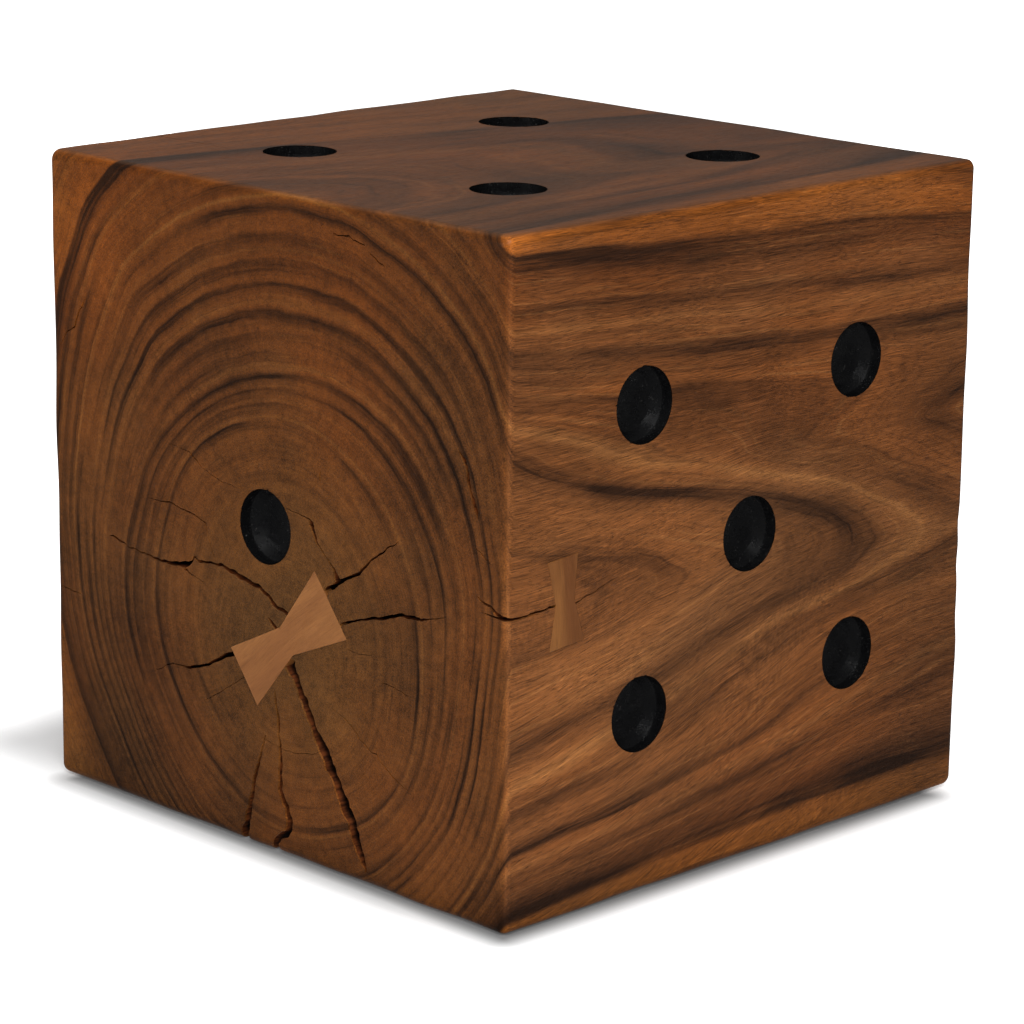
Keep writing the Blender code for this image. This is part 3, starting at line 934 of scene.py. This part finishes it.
logLook = {
    "brightness": 0.78,
    "endGrainShade": 0.60,
    "endGrainTint": (1.0, 0.94, 0.66),  # end grain drinks more oil
    "lean": 0.105,  # how far the fibres climb along the lower part of the log
    "leanAlong": (-0.23, 0.17),
    "leanBelow": (0.30, 0.12),
    # lighter and darker places: where, how far they reach, and by how much; the last, at the front top
    # corner, is a painted highlight
    "places": [
        ((0.2, -0.11, 0.09), 0.17, 0.22), ((0.2, 0.13, 0.18), 0.13, -0.16),
        ((0.2, 0.09, 0.40), 0.14, 0.30), ((-0.19, -0.2, 0.38), 0.12, 0.40),
        ((-0.12, -0.2, 0.05), 0.16, -0.20), ((0.2, -0.2, 0.405), 0.04, 0.35),
    ],
    # how much lighter the rounded edges are: partly wear, partly a painted highlight
    "edgeWearAndHighlight": 0.32,
    "topWearAndSheen": 0.22,  # the top is greyer: partly wear from use, partly a painted sheen
    "topWearAndSheenColour": (112, 82, 60),
    "poreColour": (34, 18, 10),
    "rawColour": (82, 40, 15),  # bare wood in the cracks and pockets
    # painted shade deep in the cracks and pockets, darker further in
    "rawShadeColour": (20, 9, 5),
    "rawDepth": (0.8 * mm, 1.4 * mm),
    "rawShadeDepth": (1.5 * mm, 6.5 * mm),
    "fibreContrast": (0.9, 0.62),  # on the sides, and the share of it on the ends
    "streakContrast": (0.38, 0.25),
    "lineContrast": 0.42,
    "rayContrast": 0.26,
    "blotchContrast": 0.6,
    "curlContrast": 0.7,
    "lightHair": 0.42,
    "darkHair": 0.42,
    "areaContrast": 0.7,
    "speckContrast": 1.7,
    "mottleContrast": 0.8,
    "poreDarkness": 0.40,
    "roughness": (0.30, 0.42),
    "rawRoughness": 0.85,
    "specular": 0.16,
    "bump": 0.12 * mm,
}


def leaningGrain(tree, vector):
    # z - lean * climb(y) * low(z): the fibres rise to the right in the lower part of face five
    axes = axesOf(tree, vector)
    climb = rangeTo(tree, axes[1], *logLook["leanAlong"])
    low = rangeTo(tree, axes[2], *logLook["leanBelow"])
    down = times(tree, times(tree, climb, low), -logLook["lean"])
    return vectorCalc(tree, "ADD", vector, vectorOf(tree, 0.0, 0.0, down))


def depthInside(tree, vector):
    # inside the rounded box: radius - length(max(|p - middle| - (half - radius), 0))
    radius = blockShape["edgeRadius"]
    away = vectorCalc(tree, "ABSOLUTE", vectorCalc(tree, "SUBTRACT", vector, tuple(boxMiddle)))
    beyond = vectorCalc(tree, "SUBTRACT", away, tuple(boxSize / 2 - radius))
    beyond = vectorCalc(tree, "MAXIMUM", beyond, (0, 0, 0))
    return calc(tree, "SUBTRACT", radius, vectorCalc(tree, "LENGTH", beyond, output=1))


def logLight(tree, vector, figure, grain, end, facing):
    # how bright the wood is: each mark adds its contrast, then places (the last a painted highlight) and
    # the rounded edges, lightened partly by wear and partly as a painted highlight, multiply it
    light = 0.0
    for output, contrast in (("Fibre", "fibreContrast"), ("Streak", "streakContrast")):
        amount, onEnd = logLook[contrast]
        mark = swing(tree, grain[output], amount)
        shown = calc(tree, "MULTIPLY_ADD", end, onEnd - 1, 1.0)
        light = calc(tree, "MULTIPLY_ADD", mark, shown, light)
    onSide = calc(tree, "MULTIPLY_ADD", end, -1.0, 1.0)
    curl = times(tree, grain["Curl"], onSide)
    light = calc(tree, "MULTIPLY_ADD", curl, logLook["curlContrast"], light)
    light = swing(tree, figure["Line"], -logLook["lineContrast"], light)
    rays = swing(tree, figure["Ray"], end)
    light = calc(tree, "MULTIPLY_ADD", rays, logLook["rayContrast"], light)
    # end grain is speckled at about 1 mm and mottled at about 7 mm
    for size, contrast in ((1200, "speckContrast"), (150, "mottleContrast")):
        speck = swing(tree, noise(tree, vector, (size, size / 3, size), 3.0, 0.65), end)
        light = calc(tree, "MULTIPLY_ADD", speck, logLook[contrast], light)
    blotch = noise(tree, vector, (24, 9, 24), 4.0, 0.6)
    light = swing(tree, blotch, logLook["blotchContrast"], light)
    light = swing(tree, noise(tree, vector, (9, 4, 11)), logLook["areaContrast"], light)
    light = calc(tree, "ADD", light, logLook["brightness"])
    light = times(tree, light, calc(tree, "MULTIPLY_ADD", end, logLook["endGrainShade"] - 1, 1.0))
    # the places lighten or darken the wood; the one at the front top corner is a painted highlight
    for spot, reach, amount in logLook["places"]:
        away = vectorCalc(tree, "DISTANCE", vector, spot, output=1)
        light = times(tree, light, rangeTo(tree, away, 0.0, reach, 1.0 + amount, 1.0))
    # a rounded edge is where no axis takes most of the normal
    sides = [calc(tree, "ABSOLUTE", facing[axis]) for axis in range(3)]
    most = calc(tree, "MAXIMUM", calc(tree, "MAXIMUM", sides[0], sides[1]), sides[2])
    # rounded edges are made lighter: partly wear, partly a painted highlight
    wearAndHighlight = rangeTo(tree, most, 0.97, 0.80, 0.0, logLook["edgeWearAndHighlight"])
    wearAndHighlight = times(tree, wearAndHighlight, rangeTo(tree, blotch, 0.35, 0.6, 0.3))
    light = times(tree, light, calc(tree, "ADD", wearAndHighlight, 1.0))
    # single fibres, light and dark, on the faces along the log
    hair = calc(tree, "ADD", rangeTo(tree, grain["Hair"], 0.56, 0.70, 0.0, logLook["lightHair"]),
                rangeTo(tree, grain["Hair"], 0.44, 0.30, 0.0, -logLook["darkHair"]))
    return times(tree, light, calc(tree, "MULTIPLY_ADD", hair, onSide, 1.0))


def logMaterial():
    material, tree, shader, coordinates = newMaterial("oiled_log")
    vector = coordinates.outputs["Object"]
    figure = useGroup(tree, "logFigure", vector)
    grain = useGroup(tree, "grainPores", leaningGrain(tree, vector))
    facing = axesOf(tree, coordinates.outputs["Normal"])
    # end grain shows where the surface faces along the log
    end = rangeTo(tree, calc(tree, "ABSOLUTE", facing[1]), 0.45, 0.85)
    light = logLight(tree, vector, figure, grain, end, facing)
    colour = brighten(tree, figure["Color"], light)
    tinted = vectorCalc(tree, "MULTIPLY", colour, logLook["endGrainTint"])
    colour = mixColour(tree, end, colour, tinted)
    # the top is mixed toward a grey brown: partly wear, partly a painted sheen
    topWearAndSheenShare = rangeTo(tree, facing[2], 0.7, 0.95, 0.0, logLook["topWearAndSheen"])
    colour = mixColour(tree, topWearAndSheenShare, colour, srgb(*logLook["topWearAndSheenColour"]))
    pore = times(tree, grain["Pore"], logLook["poreDarkness"])
    colour = mixColour(tree, pore, colour, srgb(*logLook["poreColour"]))
    # bare wood inside the cracks and pockets, with painted shade that darkens it further in
    inside = depthInside(tree, vector)
    raw = rangeTo(tree, inside, *logLook["rawDepth"])
    deep = rangeTo(tree, inside, *logLook["rawShadeDepth"])
    rawColour = mixColour(tree, deep, srgb(*logLook["rawColour"]), srgb(*logLook["rawShadeColour"]))
    rawNoise = noise(tree, vector, (420, 50, 420), 3.0)
    rawColour = brighten(tree, rawColour, rangeTo(tree, rawNoise, 0.25, 0.75, 0.25, 1.7))
    put(tree, shader.inputs["Base Color"], mixColour(tree, raw, colour, rawColour))
    rough = rangeTo(tree, grain["Fibre"], 0.3, 0.7, *logLook["roughness"])
    put(tree, shader.inputs["Roughness"], mixValue(tree, raw, rough, logLook["rawRoughness"]))
    shader.inputs["Specular IOR Level"].default_value = logLook["specular"]
    height = times(tree, grain["Fibre"], 0.6)
    height = calc(tree, "MULTIPLY_ADD", grain["Pore"], -0.7, height)
    addBump(tree, shader, height, logLook["bump"])
    return material


keyLook = {
    "end_key": {"colour": (124, 79, 39), "dark": (110, 67, 32), "grainTurn": 37.8},
    "side_key": {"colour": (116, 72, 30), "dark": (92, 52, 19), "grainTurn": 94.4},
    "poreColour": (80, 46, 22),
    "poreDarkness": 0.22,
    "fibreContrast": 0.7,
    "streakContrast": 0.25,
    "roughness": (0.34, 0.46),
    "specular": 0.22,
    "bump": 0.05 * mm,
}


def keyMaterial(name):
    # straight fine grain along the key: its three axes are dotted with the place
    material, tree, shader, coordinates = newMaterial(name + "_wood")
    look = keyLook[name]
    turn = math.radians(look["grainTurn"])
    right, up, out = faceAxes(keyShape[name]["face"])
    grainAxis = math.cos(turn) * right + math.sin(turn) * up
    sideAxis = np.cross(grainAxis, out)
    place = coordinates.outputs["Object"]
    vector = vectorOf(tree, *(vectorCalc(tree, "DOT_PRODUCT", place, tuple(axis), output=1)
                              for axis in (sideAxis, grainAxis, out)))
    grain = useGroup(tree, "grainPores", vector)
    broad = rangeTo(tree, noise(tree, vector, (80, 9, 80)), 0.3, 0.7)
    colour = mixColour(tree, broad, srgb(*look["colour"]), srgb(*look["dark"]))
    light = swing(tree, grain["Fibre"], keyLook["fibreContrast"], 1.0)
    light = swing(tree, grain["Streak"], keyLook["streakContrast"], light)
    colour = brighten(tree, colour, light)
    pore = times(tree, grain["Pore"], keyLook["poreDarkness"])
    colour = mixColour(tree, pore, colour, srgb(*keyLook["poreColour"]))
    put(tree, shader.inputs["Base Color"], colour)
    rough = rangeTo(tree, grain["Fibre"], 0.3, 0.7, *keyLook["roughness"])
    put(tree, shader.inputs["Roughness"], rough)
    shader.inputs["Specular IOR Level"].default_value = keyLook["specular"]
    addBump(tree, shader, grain["Fibre"], keyLook["bump"])
    return material


coatLook = {
    "colour": (9, 9, 10),
    "hazeColour": (24, 24, 24),
    "haze": 0.22,
    "dustColour": (84, 82, 80),
    "roughness": (0.24, 0.36),
    "specular": 0.22,
    "bump": 0.16 * mm,
}


def coatMaterial():
    # black lacquer over wood grain, with a thin haze and specks of dust
    material, tree, shader, coordinates = newMaterial("black_coat")
    vector = coordinates.outputs["Object"]
    grain = useGroup(tree, "grainPores", vector)
    speck = rangeTo(tree, noise(tree, vector, 900.0, 2.0, 0.6), 0.66, 0.73)
    speck = times(tree, speck, rangeTo(tree, noise(tree, vector, 130.0, 1.0), 0.48, 0.68))
    haze = rangeTo(tree, noise(tree, vector, 60.0, 3.0), 0.35, 0.75, 0.0, coatLook["haze"])
    colour = mixColour(tree, haze, srgb(*coatLook["colour"]), srgb(*coatLook["hazeColour"]))
    colour = mixColour(tree, speck, colour, srgb(*coatLook["dustColour"]))
    put(tree, shader.inputs["Base Color"], colour)
    rough = rangeTo(tree, noise(tree, vector, 220.0, 3.0), 0.3, 0.7, *coatLook["roughness"])
    put(tree, shader.inputs["Roughness"], rough)
    shader.inputs["Specular IOR Level"].default_value = coatLook["specular"]
    height = calc(tree, "MULTIPLY_ADD", grain["Pore"], -0.5, grain["Fibre"])
    addBump(tree, shader, height, coatLook["bump"])
    return material


def settle(piece, material, slot, *nodes):
    piece.data.materials.clear()
    piece.data.materials.append(material)
    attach(piece, "root")
    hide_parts(*nodes)


ringAgeGroup()
logFigureGroup()
grainGroup()
print("node groups made")

coatStuff = coatMaterial()
cutters = []
for number, (name, face, middle, radius, depth) in enumerate(pipPlaces()):
    settle(pipCoat(name, face, middle, radius, depth, seed=200 + number), coatStuff, "pip_coat", name)
    cutters.append(pipHollow(face, middle, radius, depth))
    cutters += rimChips(face, middle, radius, seed=300 + number)
print("pips made")
for name, slot in (("end_key", "key_wood"), ("side_key", "side_key_wood")):
    settle(keyBody(name), keyMaterial(name), slot, name)
    cutters.append(keyPocket(name))
print("keys made")
for face, routes in crackRoutes.items():
    cutters += [crackCutter(face, number, route) for number, route in enumerate(routes)]
block = blockBody()
carve(block, cutters)
shadeByAngle(block, blockShape["sharpAngle"])
settle(block, logMaterial(), "heartwood", "block")
print("block carved,", len(block.data.polygons), "faces")


# the studio
camera = {
    "azimuth": 45.580,
    "elevation": 14.4875,
    "roll": 0.5209,
    "distance": 2.402405,
    "focal": 3792.37,  # in parts of the picture, which is 1024 wide
    "width": 1024,
    "sensor": 36,
    "aim": (0.0025547, 0.1770386),  # to the right of the middle, and up
}


def addCamera():
    # back, right and up of a camera that looks at the aim, then rolled about its own axis
    turn, lift, roll = (math.radians(camera[name]) for name in ("azimuth", "elevation", "roll"))
    level = math.cos(lift)
    back = Vector((math.sin(turn) * level, -math.cos(turn) * level, math.sin(lift)))
    right = Vector((math.cos(turn), math.sin(turn), 0))
    up = back.cross(right)
    target = right * camera["aim"][0] + Vector((0, 0, camera["aim"][1]))
    rolledRight = right * math.cos(roll) + up * math.sin(roll)
    rolledUp = up * math.cos(roll) - right * math.sin(roll)
    axes = Matrix((rolledRight, rolledUp, back)).transposed().to_4x4()
    data = bpy.data.cameras.new("camera")
    data.sensor_width = camera["sensor"]
    data.lens = camera["focal"] / camera["width"] * camera["sensor"]
    data.clip_end = 100
    made = bpy.data.objects.new("camera", data)
    made.matrix_world = Matrix.Translation(target + back * camera["distance"]) @ axes
    bpy.context.scene.collection.objects.link(made)
    bpy.context.scene.camera = made


lamps = {  # size in metres, power in watts, place, and whether it shows in gloss
    "high": {"size": 0.75, "power": 26, "place": (1.0, -1.1, 2.2), "shine": True},
    "front": {"size": 1.6, "power": 34, "place": (1.9, -1.9, 1.15), "shine": False},
    "left": {"size": 1.2, "power": 9, "place": (-0.6, -2.3, 1.3), "shine": True},
    "back": {"size": 1.8, "power": 16, "place": (-1.7, 1.8, 0.8), "shine": False},
}


def addLamp(name, size, power, place, shine):
    data = bpy.data.lights.new(name, "AREA")
    data.size = size
    data.energy = power
    lamp = bpy.data.objects.new(name, data)
    lamp.location = place
    lamp.visible_glossy = shine
    aim = Vector((0, 0, 0.2)) - Vector(place)
    lamp.rotation_euler = aim.to_track_quat("-Z", "Y").to_euler()
    bpy.context.scene.collection.objects.link(lamp)


# the floor's painted shadow: two rectangles, each the block's own moved in at its low and high corners, and
# for each how far its painted shadow reaches and the darkest and lightest values there; one is a painted
# contact shadow, the other a painted cast shadow
floorLook = {
    "half": 6.0,
    "below": 0.0002,
    "paintedContactShadow": {"low": (0.02, 0), "high": (0, -0.03),
                "grey": (-0.004, 0.020, 0.15, 0.86), "glow": (0.0, 0.045, 0.05, 1.0)},
    "paintedCastShadow": {"low": (-0.06, 0.03), "high": (-0.1, -0.02),
             "grey": (0.0, 0.10, 0.42, 0.86), "glow": (0.0, 0.10, 0.30, 1.0)},
    "glow": 0.95,
    "roughness": 0.9,
}


def distanceFrom(tree, vector, low, high):
    # on the floor, from the rectangle between two corners: length(max(|p - middle| - half, 0))
    middle, half = (low + high) / 2, (high - low) / 2
    away = vectorCalc(tree, "SUBTRACT", vector, (middle[0], middle[1], 0))
    away = vectorCalc(tree, "SUBTRACT", vectorCalc(tree, "ABSOLUTE", away), (half[0], half[1], 1))
    return vectorCalc(tree, "LENGTH", vectorCalc(tree, "MAXIMUM", away, (0, 0, 0)), output=1)


def addFloor():
    # white and glowing, but greyer and glowing less beside the block: a painted contact shadow and a
    # painted cast shadow, so that the shadow stays near it
    side = np.array([-1.0, 1.0]) * floorLook["half"]
    across, along = np.meshgrid(side, side, indexing="ij")
    points = np.stack([across, along, 0 * across - floorLook["below"]], axis=-1).reshape(-1, 3)
    floor = addPiece("floor", points, gridQuads(2, 2, wrap=False).tolist())
    material, tree, shader, coordinates = newMaterial("white_floor")
    shades = {"grey": [], "glow": []}
    for name in ("paintedContactShadow", "paintedCastShadow"):
        look = floorLook[name]
        low, high = boxLow[:2] + np.array(look["low"]), boxHigh[:2] + np.array(look["high"])
        away = distanceFrom(tree, coordinates.outputs["Object"], low, high)
        for kind, made in shades.items():
            made.append(rangeTo(tree, away, *look[kind]))
    # the grey lowers the floor's base colour near the block as painted shadow, and the glow is lowered
    # there too
    for kind, socket in (("grey", "Base Color"), ("glow", "Emission Color")):
        shade = calc(tree, "MINIMUM", *shades[kind])
        put(tree, shader.inputs[socket], vectorOf(tree, shade, shade, shade))
    shader.inputs["Emission Strength"].default_value = floorLook["glow"]
    shader.inputs["Roughness"].default_value = floorLook["roughness"]
    shader.inputs["Specular IOR Level"].default_value = 0.0
    floor.visible_glossy = False
    floor.data.materials.append(material)


def addWorld(toEye, toObject, toGloss):
    # white behind the object, and softer greys for what lights it and what it reflects
    world = bpy.data.worlds.new("studio")
    world.use_nodes = True
    tree = world.node_tree
    background = tree.nodes["Background"]
    path = tree.nodes.new("ShaderNodeLightPath")
    background.inputs["Color"].default_value = (1, 1, 1, 1)
    strength = mixValue(tree, path.outputs["Is Glossy Ray"], toObject, toGloss)
    strength = mixValue(tree, path.outputs["Is Camera Ray"], strength, toEye)
    put(tree, background.inputs["Strength"], strength)
    bpy.context.scene.world = world


addCamera()
for name, lamp in lamps.items():
    addLamp(name, **lamp)
addFloor()
addWorld(toEye=1.1, toObject=0.42, toGloss=0.16)
bpy.context.scene.view_settings.view_transform = "Standard"
print("studio made")
